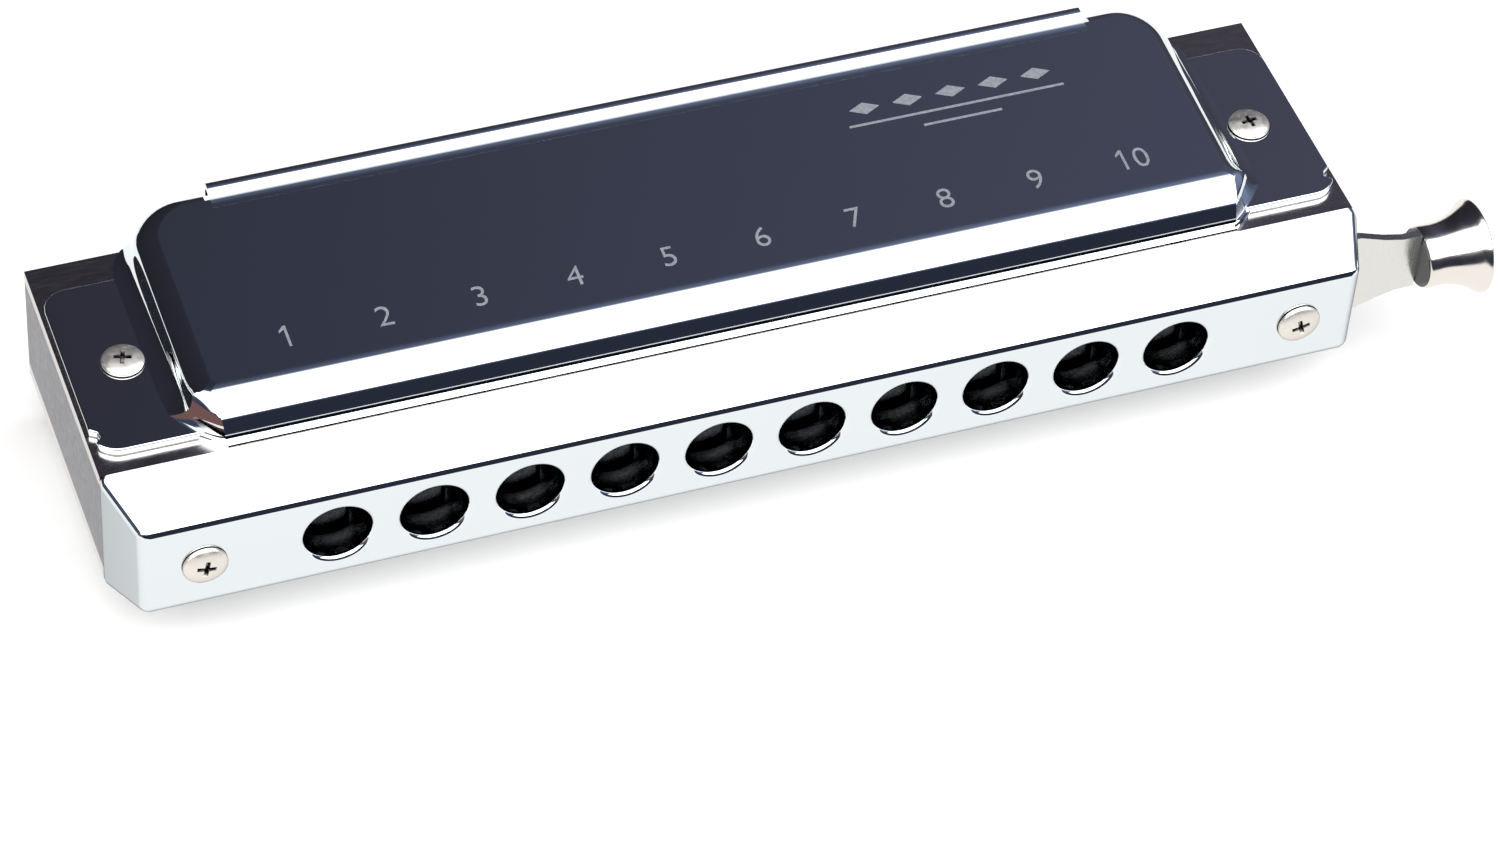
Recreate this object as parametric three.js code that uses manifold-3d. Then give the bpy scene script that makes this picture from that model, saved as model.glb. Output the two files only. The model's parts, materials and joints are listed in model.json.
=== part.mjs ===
// A ten-hole chromatic harmonica with a spring-loaded slide button.
// Millimetres. +X runs along the holes from low to high, towards the button; -Y is the mouth side; +Z is up.
// The origin is the middle of the flat crest on the lower cover's rear lip, which the instrument rests on.
import * as THREE from "three";
import { mergeVertices } from "three/addons/utils/BufferGeometryUtils.js";
import Module from "manifold-3d";

// ---- Driving dimensions ----

const HOLES = 10;
const HOLE_PITCH = 9.2;
const HOLE_RADIUS = 3.2;
const HOLE_LIP = 0.55; // the hole's mouth is wider than its bore by this much, and as deep
const HOLE_WALL = 1.6; // behind this depth the hole widens towards the slide
const HOLE_WIDE_RADIUS = 3.9;

const BODY_HALF_LENGTH = 61.75;
const BODY_HALF_DEPTH = 13.65;
const COMB_HALF_HEIGHT = 5.45;
const PLATE_THICKNESS = 1.3;
const COVER_HEIGHT = 5.85;
const COVER_THICKNESS = 0.5;

const CHAMBER_WIDTH = 7;
const CHAMBER_BACK = 12.3;
const CHAMBER_WEB = 0.6; // half the web between the upper and the lower chambers
const NOSE_HALF_LENGTH = 59.8;

const MOUTH_FRONT = -20.5;
const MOUTH_BACK = -13.95;
const MOUTH_FRONT_HALF_HEIGHT = 5.35;
const MOUTH_BACK_HALF_HEIGHT = 7.2;
const MOUTH_FRONT_HALF_LENGTH = 59.8;
const MOUTH_BACK_HALF_LENGTH = 61.85;
const POCKET_FRONT = -16.8;
const POCKET_HALF_LENGTH = 60.4;
const POCKET_HALF_HEIGHT = 6.2;

const SLIDE_Y = -15.7; // middle of the slide's thickness
const SLIDE_THICKNESS = 0.8;
const SLIDE_HALF_HEIGHT = 5.5;
const SLIDE_TRAVEL = HOLE_PITCH / 2;
const SLIDE_GAP = 0.05; // between the slide and each cage plate
const CAGE_THICKNESS = 0.6;
const GASKET_THICKNESS = 0.5;
const WINDOW_WIDTH = 4.2;
const WINDOW_LOW = 0.9; // heights of a window's edges above or below the hole's axis
const WINDOW_HIGH = 4.5;

const BUTTON_START = 68.7;
const BUTTON_LENGTH = 6.2;
const BUTTON_RADIUS = 3.1;
const BUTTON_RIM = 4.7;

const MOUTH_SCREW_X = 54;
const COVER_SCREW_X = 56.2;
const COVER_SCREW_Y = -1;
const SCREW_SHANK = 1;
const SCREW_CLEARANCE = 1.2;

const REED_WIDTH = 1.8;
const REED_THICKNESS = 0.2;
const REED_SLOT_WIDTH = 2.1;
const REED_OFFSET = 1.85; // of a hole's two reeds from the hole's axis, along X
const REED_LONGEST = 16.5;
const REED_SHORTEST = 9;
const REED_PAD = 3; // length of the thick riveted end
const REED_PAD_THICKNESS = 0.45;
const REED_ROW_MIDDLE = 0.6;

// ---- Derived places ----

const PLATE_TOP = COMB_HALF_HEIGHT + PLATE_THICKNESS;
const AXIS_HEIGHT = PLATE_TOP + COVER_HEIGHT; // height of the hole axes above the resting face
const holeXs = Array.from({ length: HOLES }, (_, i) => (i - (HOLES - 1) / 2) * HOLE_PITCH);
const cageFrontY = SLIDE_Y - SLIDE_THICKNESS / 2 - SLIDE_GAP - CAGE_THICKNESS;
const cageBackY = SLIDE_Y + SLIDE_THICKNESS / 2 + SLIDE_GAP;
const gasketY = cageBackY + CAGE_THICKNESS;
const noseY = gasketY + GASKET_THICKNESS;

// ---- Materials ----

const metal = (name, color, roughness) =>
  new THREE.MeshStandardMaterial({ name, color, roughness, metalness: 1 });
const chrome = () => metal("chrome", 0xdfe3ea, 0.06);
const nickel = () => metal("nickel", 0x8f8a84, 0.22);
const brightNickel = () => metal("bright_nickel", 0xd8d2c6, 0.15);
const steel = () => metal("spring_steel", 0xb8babd, 0.3);
const bronze = () => metal("reed_bronze", 0xc79a52, 0.35);
const plastic = (name, color) =>
  new THREE.MeshStandardMaterial({ name, color, roughness: 0.55, metalness: 0 });
const combPlastic = () => plastic("comb_plastic", 0x9b9ba3);
const felt = () => plastic("felt", 0x3b3d3c);
const rubber = () => plastic("rubber", 0x1d1d1f);

// ---- Joining and cutting ----

const wasm = await Module();
wasm.setup();

function solid(geometry) {
  const bare = geometry.clone();
  bare.deleteAttribute("normal");
  bare.deleteAttribute("uv");
  const merged = mergeVertices(bare, 1e-4);
  return new wasm.Manifold(
    new wasm.Mesh({
      numProp: 3,
      vertProperties: merged.attributes.position.array,
      triVerts: new Uint32Array(merged.index.array),
    }),
  );
}

function surface(manifold) {
  const { vertProperties, triVerts } = manifold.getMesh();
  const geometry = new THREE.BufferGeometry();
  geometry.setAttribute("position", new THREE.BufferAttribute(vertProperties, 3));
  geometry.setIndex(new THREE.BufferAttribute(triVerts, 1));
  const flat = geometry.toNonIndexed();
  flat.computeVertexNormals();
  return flat;
}

const join = (...geometries) => surface(geometries.map(solid).reduce((a, b) => a.add(b)));
const overlap = (...geometries) => surface(geometries.map(solid).reduce((a, b) => a.intersect(b)));
const cut = (base, ...tools) => surface(tools.map(solid).reduce((a, b) => a.subtract(b), solid(base)));

// ---- Shape helpers ----

// A box from its lowest to its highest corner.
function box([x0, y0, z0], [x1, y1, z1]) {
  return new THREE.BoxGeometry(x1 - x0, y1 - y0, z1 - z0).translate(
    (x0 + x1) / 2,
    (y0 + y1) / 2,
    (z0 + z1) / 2,
  );
}

const polygon = (points) => new THREE.Shape(points.map(([x, y]) => new THREE.Vector2(x, y)));

const prism = (shape, depth, curveSegments = 6) =>
  new THREE.ExtrudeGeometry(shape, { depth, bevelEnabled: false, curveSegments });

// A plan outline, drawn in X and Y, between two heights.
const upright = (shape, z0, z1) => prism(shape, z1 - z0).translate(0, 0, z0);

// A front outline, drawn in X and Z, between two depths.
const facing = (shape, y0, y1) => prism(shape, y1 - y0).rotateX(Math.PI / 2).translate(0, y1, 0);

// A cross-section, drawn in Y and Z, between two places along the length.
const lengthwise = (shape, x0, x1) =>
  prism(shape, x1 - x0).rotateY(Math.PI / 2).rotateX(Math.PI / 2).translate(x0, 0, 0);

// A turned piece: its profile of [radius, distance] turns about its axis, which points along +Z.
const turned = (profile, sides) =>
  new THREE.LatheGeometry(polygon(profile).getPoints(), sides).rotateX(Math.PI / 2);

// A round hole's cutter along Y.
const boreAlongY = (x, z, radius, y0, y1, sides = 12) =>
  new THREE.CylinderGeometry(radius, radius, y1 - y0, sides).translate(x, (y0 + y1) / 2, z);

// A round hole's cutter along Z.
const boreAlongZ = (x, y, radius, z0, z1, sides = 12) =>
  new THREE.CylinderGeometry(radius, radius, z1 - z0, sides)
    .rotateX(Math.PI / 2)
    .translate(x, y, (z0 + z1) / 2);

function piece(name, geometry, material) {
  const mesh = new THREE.Mesh(geometry, material);
  mesh.name = name;
  return mesh;
}

// ---- Comb and reed plates ----

const screwXs = (x) => [-x, x];

function makeComb() {
  const h = COMB_HALF_HEIGHT;
  const slab = box([-BODY_HALF_LENGTH, -BODY_HALF_DEPTH, -h], [BODY_HALF_LENGTH, BODY_HALF_DEPTH, h]);
  const nose = box([-NOSE_HALF_LENGTH, noseY, -h], [NOSE_HALF_LENGTH, 1 - BODY_HALF_DEPTH, h]);
  const half = CHAMBER_WIDTH / 2;
  const chamberFront = 1 - BODY_HALF_DEPTH;
  const heights = (side, high) => [side * CHAMBER_WEB, side * high].sort((a, b) => a - b);
  const chamber = (x, side) => {
    const [low, high] = heights(side, h + 1);
    return box([x - half, chamberFront, low], [x + half, CHAMBER_BACK, high]);
  };
  const throat = (x, side) => {
    const [low, high] = heights(side, WINDOW_HIGH);
    return box([x - half, noseY - 1, low], [x + half, chamberFront + 1, high]);
  };
  const hollows = holeXs.flatMap((x) => [1, -1].flatMap((side) => [chamber(x, side), throat(x, side)]));
  const coverBores = screwXs(COVER_SCREW_X).map((x) =>
    boreAlongZ(x, COVER_SCREW_Y, SCREW_CLEARANCE, -h - 1, h + 1),
  );
  const mouthBores = screwXs(MOUTH_SCREW_X).map((x) =>
    boreAlongY(x, 0, SCREW_CLEARANCE, noseY - 1, noseY + 6),
  );
  return piece("comb", cut(join(slab, nose), ...hollows, ...coverBores, ...mouthBores), combPlastic());
}

// Reeds get shorter towards the high end. A hole's blow reed is the shorter of its two.
function reedLength(hole, isDraw) {
  const step = (REED_LONGEST - REED_SHORTEST) / HOLES;
  return REED_LONGEST - step * (hole + (isDraw ? 0 : 0.5));
}

function makeReedPlate(name) {
  const plan = [
    [-BODY_HALF_LENGTH, -BODY_HALF_DEPTH, COMB_HALF_HEIGHT],
    [BODY_HALF_LENGTH, BODY_HALF_DEPTH, PLATE_TOP],
  ];
  const slots = holeXs.flatMap((x, hole) =>
    [false, true].map((isDraw) => {
      const middle = x + (isDraw ? REED_OFFSET : -REED_OFFSET);
      const half = reedLength(hole, isDraw) / 2 + 0.2;
      return box(
        [middle - REED_SLOT_WIDTH / 2, REED_ROW_MIDDLE - half, COMB_HALF_HEIGHT - 1],
        [middle + REED_SLOT_WIDTH / 2, REED_ROW_MIDDLE + half, PLATE_TOP + 1],
      );
    }),
  );
  const bores = screwXs(COVER_SCREW_X).map((x) =>
    boreAlongZ(x, COVER_SCREW_Y, SCREW_CLEARANCE, COMB_HALF_HEIGHT - 1, PLATE_TOP + 1),
  );
  return piece(name, cut(box(...plan), ...slots, ...bores), nickel());
}

// A reed lies over its slot with its thick end on the plate: draw reeds outside the plate with the thick end
// at the front, blow reeds inside the chamber with the thick end at the back.
function makeReed(name, hole, isDraw) {
  const half = reedLength(hole, isDraw) / 2;
  const side = polygon([
    [-half, 0],
    [half + REED_PAD, 0],
    [half + REED_PAD, REED_PAD_THICKNESS],
    [half, REED_PAD_THICKNESS],
    [half - 1, REED_THICKNESS],
    [-half, REED_THICKNESS],
  ]);
  const reed = piece(name, lengthwise(side, -REED_WIDTH / 2, REED_WIDTH / 2), bronze());
  const x = holeXs[hole] + (isDraw ? REED_OFFSET : -REED_OFFSET);
  reed.position.set(x, REED_ROW_MIDDLE, isDraw ? PLATE_TOP : COMB_HALF_HEIGHT);
  if (isDraw) reed.rotation.z = Math.PI;
  else reed.rotation.y = Math.PI;
  return reed;
}

function makeReeds(level) {
  const pad = (n) => String(n).padStart(2, "0");
  return holeXs.flatMap((_, hole) => [
    makeReed(`reed_${level}_blow_${pad(hole + 1)}`, hole, false),
    makeReed(`reed_${level}_draw_${pad(hole + 1)}`, hole, true),
  ]);
}

// ---- Covers ----

const COVER = {
  footX: 54.2,
  shoulderX: 51.9,
  shoulderDrop: 1.5, // the end's shoulder runs this far below the top's surface
  shoulderBend: 0.3,
  flatX: 49.9,
  footY: -12.95,
  wallHeight: 0.65,
  wallLean: 0.18, // of the front wall, inwards for each unit of height
  topY: -8.95, // where the front round meets the top, which rises from there to the back
  topHeight: 4.1,
  topSlope: 0.056,
  topBackY: 12.7,
  backY: 14.4,
  backRadius: 1.4,
  frontFacet: 3.2,
  backCornerRadius: 5,
  openingHalfLength: 44.5,
  roundReach: 2.1, // how far the front round's two handles reach from its upper and lower ends
  roundSag: 0.13,
  endSweep: [[0, 1.6], [0.9, 1.1], [1.7, 0.5]], // the end's hollow curve: in from the foot, down from the shoulder
};
const LIP = {
  halfLength: 44,
  overlap: 0.6, // with the top, in front of the fold
  crestHalf: 0.35,
  foldHeight: 0.2, // the crest's rear edge is folded down in two steps
  foldReach: 0.25,
  shoulderDrop: 0.6,
  backY: 15,
  drop: 1.7,
};
const REST_Y = 14.05; // middle of the lip's flat crest

const topHeightAt = (y) => COVER.topHeight + COVER.topSlope * (y - COVER.topY);

// The cover's outer form, or its inner one when inset by the sheet's thickness.
function coverForm(inset) {
  const c = COVER;
  const bottom = inset ? -1 : 0;
  const footX = c.footX - inset;
  const footY = c.footY + inset;
  const backY = c.backY - inset;
  const backTop = topHeightAt(c.topBackY) - inset;

  const crossSection = new THREE.Shape();
  crossSection.moveTo(footY, bottom);
  crossSection.lineTo(backY, bottom);
  crossSection.lineTo(backY, backTop - c.backRadius + inset);
  crossSection.quadraticCurveTo(backY, backTop, c.topBackY, backTop);
  crossSection.lineTo(c.topY, c.topHeight - inset);
  crossSection.bezierCurveTo(
    c.topY - c.roundReach,
    c.topHeight - inset - c.roundSag,
    footY + c.wallLean,
    c.wallHeight + c.roundReach - inset,
    footY + c.wallLean * c.wallHeight,
    c.wallHeight - inset / 2,
  );
  crossSection.lineTo(footY, 0);

  const top = c.topHeight - inset;
  const shoulder = top - c.shoulderDrop;
  const low = -topHeightAt(c.backY) - 1;
  const halfEnd = [
    [footX, low],
    ...c.endSweep.map(([reach, drop]) => [footX - reach, shoulder - drop]),
    [c.shoulderX - inset, shoulder],
  ];
  const endView = polygon(halfEnd);
  const bendX = c.shoulderX - inset - c.shoulderBend;
  endView.quadraticCurveTo(bendX, top, c.flatX - inset, top);
  endView.lineTo(-c.flatX + inset, top);
  endView.quadraticCurveTo(-bendX, top, -c.shoulderX + inset, shoulder);
  for (const [x, z] of halfEnd.slice(0, -1).reverse()) endView.lineTo(-x, z);
  const rising = new THREE.Matrix4()
    .makeShear(0, 0, 0, c.topSlope, 0, 0)
    .setPosition(0, 0, -c.topSlope * c.topY);

  const r = c.backCornerRadius - inset;
  const plan = new THREE.Shape();
  plan.moveTo(-footX + c.frontFacet, footY);
  plan.lineTo(footX - c.frontFacet, footY);
  plan.lineTo(footX, footY + c.frontFacet);
  plan.lineTo(footX, backY - r);
  plan.absarc(footX - r, backY - r, r, 0, Math.PI / 2, false);
  plan.absarc(-footX + r, backY - r, r, Math.PI / 2, Math.PI, false);
  plan.lineTo(-footX, footY + c.frontFacet);

  return overlap(
    lengthwise(crossSection, -footX - 1, footX + 1),
    facing(endView, footY - 1, backY + 1).applyMatrix4(rising),
    upright(plan, bottom - 1, COVER_HEIGHT + 1),
  );
}

// The lip along the back opening rises from the top to a flat crest and turns down behind it.
function makeLip() {
  const t = COVER_THICKNESS;
  const start = topHeightAt(COVER.topBackY);
  const frontY = COVER.topBackY - LIP.overlap;
  const under = COVER_HEIGHT - t;
  const section = polygon([
    [frontY, start - t],
    [COVER.topBackY + t / 2, start - t],
    [REST_Y - LIP.crestHalf, under],
    [REST_Y, under],
    [LIP.backY - t, under - LIP.shoulderDrop / 2],
    [LIP.backY - t, COVER_HEIGHT - LIP.drop],
    [LIP.backY, COVER_HEIGHT - LIP.drop],
    [LIP.backY, COVER_HEIGHT - LIP.shoulderDrop],
    [LIP.backY - LIP.foldReach, COVER_HEIGHT - LIP.foldHeight],
    [REST_Y + LIP.crestHalf, COVER_HEIGHT],
    [REST_Y - LIP.crestHalf, COVER_HEIGHT],
    [COVER.topBackY, start],
    [frontY, topHeightAt(frontY)],
  ]);
  return lengthwise(section, -LIP.halfLength, LIP.halfLength);
}

const FLANGE = { outerX: 61.4, frontY: -11.6, backY: 9.6, corner: 2.2, frontCorner: 3.5, thickness: 0.8 };
const FRONT_LIP_HEIGHT = 0.6;

// The flat end of the cover that its screw holds down, on the side given as -1 or 1.
function makeFlange(side) {
  const f = FLANGE;
  const innerX = COVER.footX - COVER_THICKNESS;
  const plan = [
    [innerX, f.frontY],
    [f.outerX - f.corner, f.frontY],
    [f.outerX, f.frontY + f.frontCorner],
    [f.outerX, f.backY - f.corner],
    [f.outerX - f.corner, f.backY],
    [innerX, f.backY],
  ].map(([x, y]) => [side * x, y]);
  const plate = upright(polygon(plan), 0, f.thickness);
  return cut(plate, boreAlongZ(side * COVER_SCREW_X, COVER_SCREW_Y, SCREW_CLEARANCE, -1, 2));
}

// A cover is a pressed pan that is open along its back between its rounded back corners. It has a lip
// over that opening, a narrow one along its front foot, and a screwed flange at each end.
function makeCover(name) {
  const c = COVER;
  const shell = cut(
    coverForm(0),
    coverForm(COVER_THICKNESS),
    box([-c.openingHalfLength, c.topBackY, -1], [c.openingHalfLength, c.backY + 1, COVER_HEIGHT]),
  );
  const lipHalf = c.footX - c.frontFacet;
  const frontLip = box([-lipHalf, -BODY_HALF_DEPTH, 0], [lipHalf, c.footY + 0.3, FRONT_LIP_HEIGHT]);
  const shape = join(shell, makeLip(), frontLip, makeFlange(-1), makeFlange(1));
  const cover = piece(name, shape, chrome());
  cover.position.z = PLATE_TOP;
  return cover;
}

// ---- Screws ----

// A cross-head screw. Its head's flat underside is at its own origin and its shank runs along -Z.
function makeScrew(name, headRadius, shankLength, material) {
  const headHeight = headRadius * 0.36;
  const profile = [
    [0, -shankLength],
    [SCREW_SHANK * 0.6, -shankLength],
    [SCREW_SHANK, -shankLength + 0.8],
    [SCREW_SHANK, 0],
    [headRadius, 0],
    [headRadius, headHeight * 0.3],
    [headRadius * 0.8, headHeight * 0.75],
    [headRadius * 0.45, headHeight],
    [0, headHeight],
  ];
  const long = headRadius * 0.62;
  const wide = headRadius * 0.15;
  const recess = [
    box([-long, -wide, headHeight * 0.35], [long, wide, headHeight + 1]),
    box([-wide, -long, headHeight * 0.35], [wide, long, headHeight + 1]),
  ];
  return piece(name, cut(turned(profile, 16), join(...recess)), material);
}

function makeCoverScrew(name, x) {
  const screw = makeScrew(name, 2, 6, brightNickel());
  screw.position.set(x, COVER_SCREW_Y, PLATE_TOP + FLANGE.thickness);
  return screw;
}

function makeMouthScrew(name, x) {
  const screw = makeScrew(name, 2.3, 10, brightNickel());
  screw.position.set(x, MOUTH_FRONT, 0);
  screw.rotation.x = Math.PI / 2;
  return screw;
}

// ---- Mouthpiece ----

// The mouthpiece is a tray that narrows towards the lips in height and in length.
function makeMouthpiece() {
  const round = 0.5;
  const crossSection = polygon([
    [MOUTH_FRONT, -MOUTH_FRONT_HALF_HEIGHT + round],
    [MOUTH_FRONT + round * 0.7, -MOUTH_FRONT_HALF_HEIGHT],
    [MOUTH_BACK, -MOUTH_BACK_HALF_HEIGHT],
    [MOUTH_BACK, MOUTH_BACK_HALF_HEIGHT],
    [MOUTH_FRONT + round * 0.7, MOUTH_FRONT_HALF_HEIGHT],
    [MOUTH_FRONT, MOUTH_FRONT_HALF_HEIGHT - round],
  ]);
  const corner = 0.8;
  const plan = polygon([
    [-MOUTH_FRONT_HALF_LENGTH + corner, MOUTH_FRONT],
    [MOUTH_FRONT_HALF_LENGTH - corner, MOUTH_FRONT],
    [MOUTH_FRONT_HALF_LENGTH, MOUTH_FRONT + corner],
    [MOUTH_BACK_HALF_LENGTH, MOUTH_BACK - corner],
    [MOUTH_BACK_HALF_LENGTH - 0.4, MOUTH_BACK],
    [-MOUTH_BACK_HALF_LENGTH + 0.4, MOUTH_BACK],
    [-MOUTH_BACK_HALF_LENGTH, MOUTH_BACK - corner],
    [-MOUTH_FRONT_HALF_LENGTH, MOUTH_FRONT + corner],
  ]);
  const outside = overlap(lengthwise(crossSection, -70, 70), upright(plan, -10, 10));
  const pocket = box(
    [-POCKET_HALF_LENGTH, POCKET_FRONT, -POCKET_HALF_HEIGHT],
    [POCKET_HALF_LENGTH, MOUTH_BACK + 1, POCKET_HALF_HEIGHT],
  );
  const depth = POCKET_FRONT - MOUTH_FRONT;
  const bore = [
    [0, -1],
    [HOLE_WIDE_RADIUS, -1],
    [HOLE_WIDE_RADIUS, depth - HOLE_WALL - 0.3],
    [HOLE_RADIUS, depth - HOLE_WALL],
    [HOLE_RADIUS, depth - HOLE_LIP],
    [HOLE_RADIUS + HOLE_LIP * 0.3, depth - HOLE_LIP * 0.3],
    [HOLE_RADIUS + HOLE_LIP, depth],
    [HOLE_RADIUS + HOLE_LIP, depth + 1],
    [0, depth + 1],
  ];
  const hole = turned(bore, 20).rotateX(Math.PI / 2).translate(0, POCKET_FRONT, 0);
  const holes = holeXs.map((x) => hole.clone().translate(x, 0, 0));
  const bores = screwXs(MOUTH_SCREW_X).map((x) =>
    boreAlongY(x, 0, SCREW_CLEARANCE, MOUTH_FRONT - 1, POCKET_FRONT + 1),
  );
  const slideWay = box(
    [POCKET_HALF_LENGTH - 1, SLIDE_Y - 0.55, -STEM.innerHalf - 0.15],
    [MOUTH_BACK_HALF_LENGTH + 1, SLIDE_Y + 0.55, STEM.innerHalf + 0.15],
  );
  return piece("mouthpiece", cut(outside, pocket, ...holes, ...bores, slideWay), chrome());
}

// ---- Slide, its cage and its spring ----

const windowBox = (x, z0, z1, y) =>
  box([x - WINDOW_WIDTH / 2, y - 1, z0], [x + WINDOW_WIDTH / 2, y + 2, z1]);

// The front half of the cage is a channel: its two rails space it from the back half.
function makeCageFront() {
  const end = POCKET_HALF_LENGTH - 0.2;
  const high = POCKET_HALF_HEIGHT - 0.15;
  const plate = box([-end, cageFrontY, -high], [end, cageFrontY + CAGE_THICKNESS, high]);
  const rails = [-1, 1].map((side) => {
    const z = [side * (SLIDE_HALF_HEIGHT + 0.15), side * high].sort((a, b) => a - b);
    return box([-end, cageFrontY, z[0]], [end, cageBackY, z[1]]);
  });
  const windows = holeXs.map((x) => windowBox(x, -WINDOW_HIGH, WINDOW_HIGH, cageFrontY));
  const bores = screwXs(MOUTH_SCREW_X).map((x) =>
    boreAlongY(x, 0, SCREW_CLEARANCE, cageFrontY - 1, cageBackY),
  );
  return piece("slide_cage_front", cut(join(plate, ...rails), ...windows, ...bores), steel());
}

// A flat sheet behind the slide, with an upper and a lower window for each hole.
function makeWindowSheet(name, y, thickness, material) {
  const end = NOSE_HALF_LENGTH;
  const sheet = box([-end, y, -COMB_HALF_HEIGHT], [end, y + thickness, COMB_HALF_HEIGHT]);
  const windows = holeXs.flatMap((x) => [
    windowBox(x, WINDOW_LOW, WINDOW_HIGH, y),
    windowBox(x, -WINDOW_HIGH, -WINDOW_LOW, y),
  ]);
  const bores = screwXs(MOUTH_SCREW_X).map((x) => boreAlongY(x, 0, SCREW_CLEARANCE, y - 1, y + 2));
  return piece(name, cut(sheet, ...windows, ...bores), material);
}

const STEM = { shoulder: 59, innerHalf: 4.9, neck: 66.6, neckHalf: 3.4, tangHalf: 2.2, tangEnd: 71 };
const SLOT_HALF = 1.8; // of the slot that lets the slide pass the right-hand mouthpiece screw
const SPRING = { postX: -58, postZ: 3.4, bend: 1.3, wire: 0.3, tineEnd: -54.9, tineTop: -1.6 };

// Released, the slide opens each hole's upper chamber; pressed, its lower windows line up instead.
function makeSlide() {
  const s = STEM;
  const bodyEnd = -MOUTH_SCREW_X + SCREW_SHANK + SLIDE_TRAVEL + 0.4;
  const high = SLIDE_HALF_HEIGHT;
  const outline = polygon([
    [SPRING.tineEnd, -high],
    [s.shoulder, -high],
    [s.shoulder, -s.innerHalf],
    [POCKET_HALF_LENGTH + 1.5, -s.innerHalf],
    [s.neck - 2, -s.neckHalf - 0.5],
    [s.neck, -s.neckHalf],
    [BUTTON_START - 0.1, -s.neckHalf],
    [BUTTON_START - 0.1, -s.tangHalf],
    [s.tangEnd, -s.tangHalf],
    [s.tangEnd, s.tangHalf],
    [BUTTON_START - 0.1, s.tangHalf],
    [BUTTON_START - 0.1, s.neckHalf],
    [s.neck, s.neckHalf],
    [s.neck - 2, s.neckHalf + 0.5],
    [POCKET_HALF_LENGTH + 1.5, s.innerHalf],
    [s.shoulder, s.innerHalf],
    [s.shoulder, high],
    [bodyEnd, high],
    [bodyEnd, SPRING.tineTop],
    [SPRING.tineEnd, SPRING.tineTop],
  ]);
  const y0 = SLIDE_Y - SLIDE_THICKNESS / 2;
  const sheet = facing(outline, y0, y0 + SLIDE_THICKNESS);
  const upper = holeXs.map((x) => windowBox(x, WINDOW_LOW, WINDOW_HIGH, y0));
  const lower = holeXs.map((x) => windowBox(x + SLIDE_TRAVEL, -WINDOW_HIGH, -WINDOW_LOW, y0));
  const screwSlot = box(
    [MOUTH_SCREW_X - SLOT_HALF, y0 - 1, -SLOT_HALF],
    [MOUTH_SCREW_X + SLOT_HALF + SLIDE_TRAVEL, y0 + 2, SLOT_HALF],
  );
  return piece("slide", cut(sheet, ...upper, ...lower, screwSlot), steel());
}

// The button is spool-shaped: a short round neck that flares to a dished rim.
function makeButton() {
  const flareStart = 2.4;
  const flareSteps = 6;
  const flare = Array.from({ length: flareSteps + 1 }, (_, i) => {
    const t = i / flareSteps;
    const reach = BUTTON_LENGTH - 0.4 - flareStart;
    return [BUTTON_RADIUS + (BUTTON_RIM - BUTTON_RADIUS) * t * t, flareStart + reach * t];
  });
  const profile = [
    [0, 0],
    [BUTTON_RADIUS - 0.2, 0],
    [BUTTON_RADIUS, 0.2],
    ...flare,
    [BUTTON_RIM, BUTTON_LENGTH - 0.1],
    [BUTTON_RIM - 0.3, BUTTON_LENGTH],
    [BUTTON_RIM * 0.6, BUTTON_LENGTH - 0.4],
    [0, BUTTON_LENGTH - 0.6],
  ];
  const round = turned(profile, 28).rotateY(Math.PI / 2).translate(BUTTON_START, 0, 0);
  const tangSlot = box(
    [BUTTON_START - 1, -SLIDE_THICKNESS / 2 - 0.1, -STEM.tangHalf - 0.1],
    [STEM.tangEnd + 0.1, SLIDE_THICKNESS / 2 + 0.1, STEM.tangHalf + 0.1],
  );
  const button = piece("slide_button", cut(round, tangSlot), brightNickel());
  button.position.y = SLIDE_Y;
  return button;
}

// A hairpin wire bent over its post: one leg rests on the pocket's end, the other pushes the slide's tine.
function makeSpring() {
  const s = SPRING;
  const at = (x, z) => new THREE.Vector3(x, SLIDE_Y, z);
  const path = new THREE.CurvePath();
  path.add(new THREE.LineCurve3(at(-60, -0.6), at(s.postX - s.bend, s.postZ)));
  const steps = 6;
  const bendPoint = (i) => {
    const angle = Math.PI * (1 - i / steps);
    return at(s.postX + s.bend * Math.cos(angle), s.postZ + s.bend * Math.sin(angle));
  };
  for (let i = 0; i < steps; i++) path.add(new THREE.LineCurve3(bendPoint(i), bendPoint(i + 1)));
  path.add(new THREE.LineCurve3(bendPoint(steps), at(s.tineEnd - s.wire - 0.02, -4.4)));
  const section = new THREE.Shape().absarc(0, 0, s.wire, 0, 2 * Math.PI, false);
  const wire = new THREE.ExtrudeGeometry(section, { steps: 28, curveSegments: 4, extrudePath: path });
  return piece("slide_spring", wire, steel());
}

function makeSpringPost() {
  const y0 = cageFrontY + CAGE_THICKNESS;
  return piece("spring_post", boreAlongY(SPRING.postX, SPRING.postZ, 0.9, y0, cageBackY, 16), steel());
}

// A soft ring on the right-hand mouthpiece screw, which quiets both ends of the slide's travel.
function makeBumper() {
  const inner = SCREW_SHANK + 0.1;
  const outer = SLOT_HALF - 0.05;
  const half = SLIDE_THICKNESS / 2 - 0.05;
  const ring = turned([[inner, -half], [outer, -half], [outer, half], [inner, half], [inner, -half]], 16);
  const bumper = piece("slide_bumper", ring, rubber());
  bumper.position.set(MOUTH_SCREW_X, SLIDE_Y, 0);
  bumper.rotation.x = Math.PI / 2;
  return bumper;
}

// ---- Assembly ----

// One half of the instrument: reed plate, reeds, cover and cover screws. The lower half mirrors the upper.
function makeHalf(level) {
  const half = new THREE.Group();
  half.add(makeReedPlate(`reed_plate_${level}`));
  half.add(...makeReeds(level));
  half.add(makeCover(`cover_${level}`));
  half.add(makeCoverScrew(`cover_screw_${level}_left`, -COVER_SCREW_X));
  half.add(makeCoverScrew(`cover_screw_${level}_right`, COVER_SCREW_X));
  return half;
}

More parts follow.
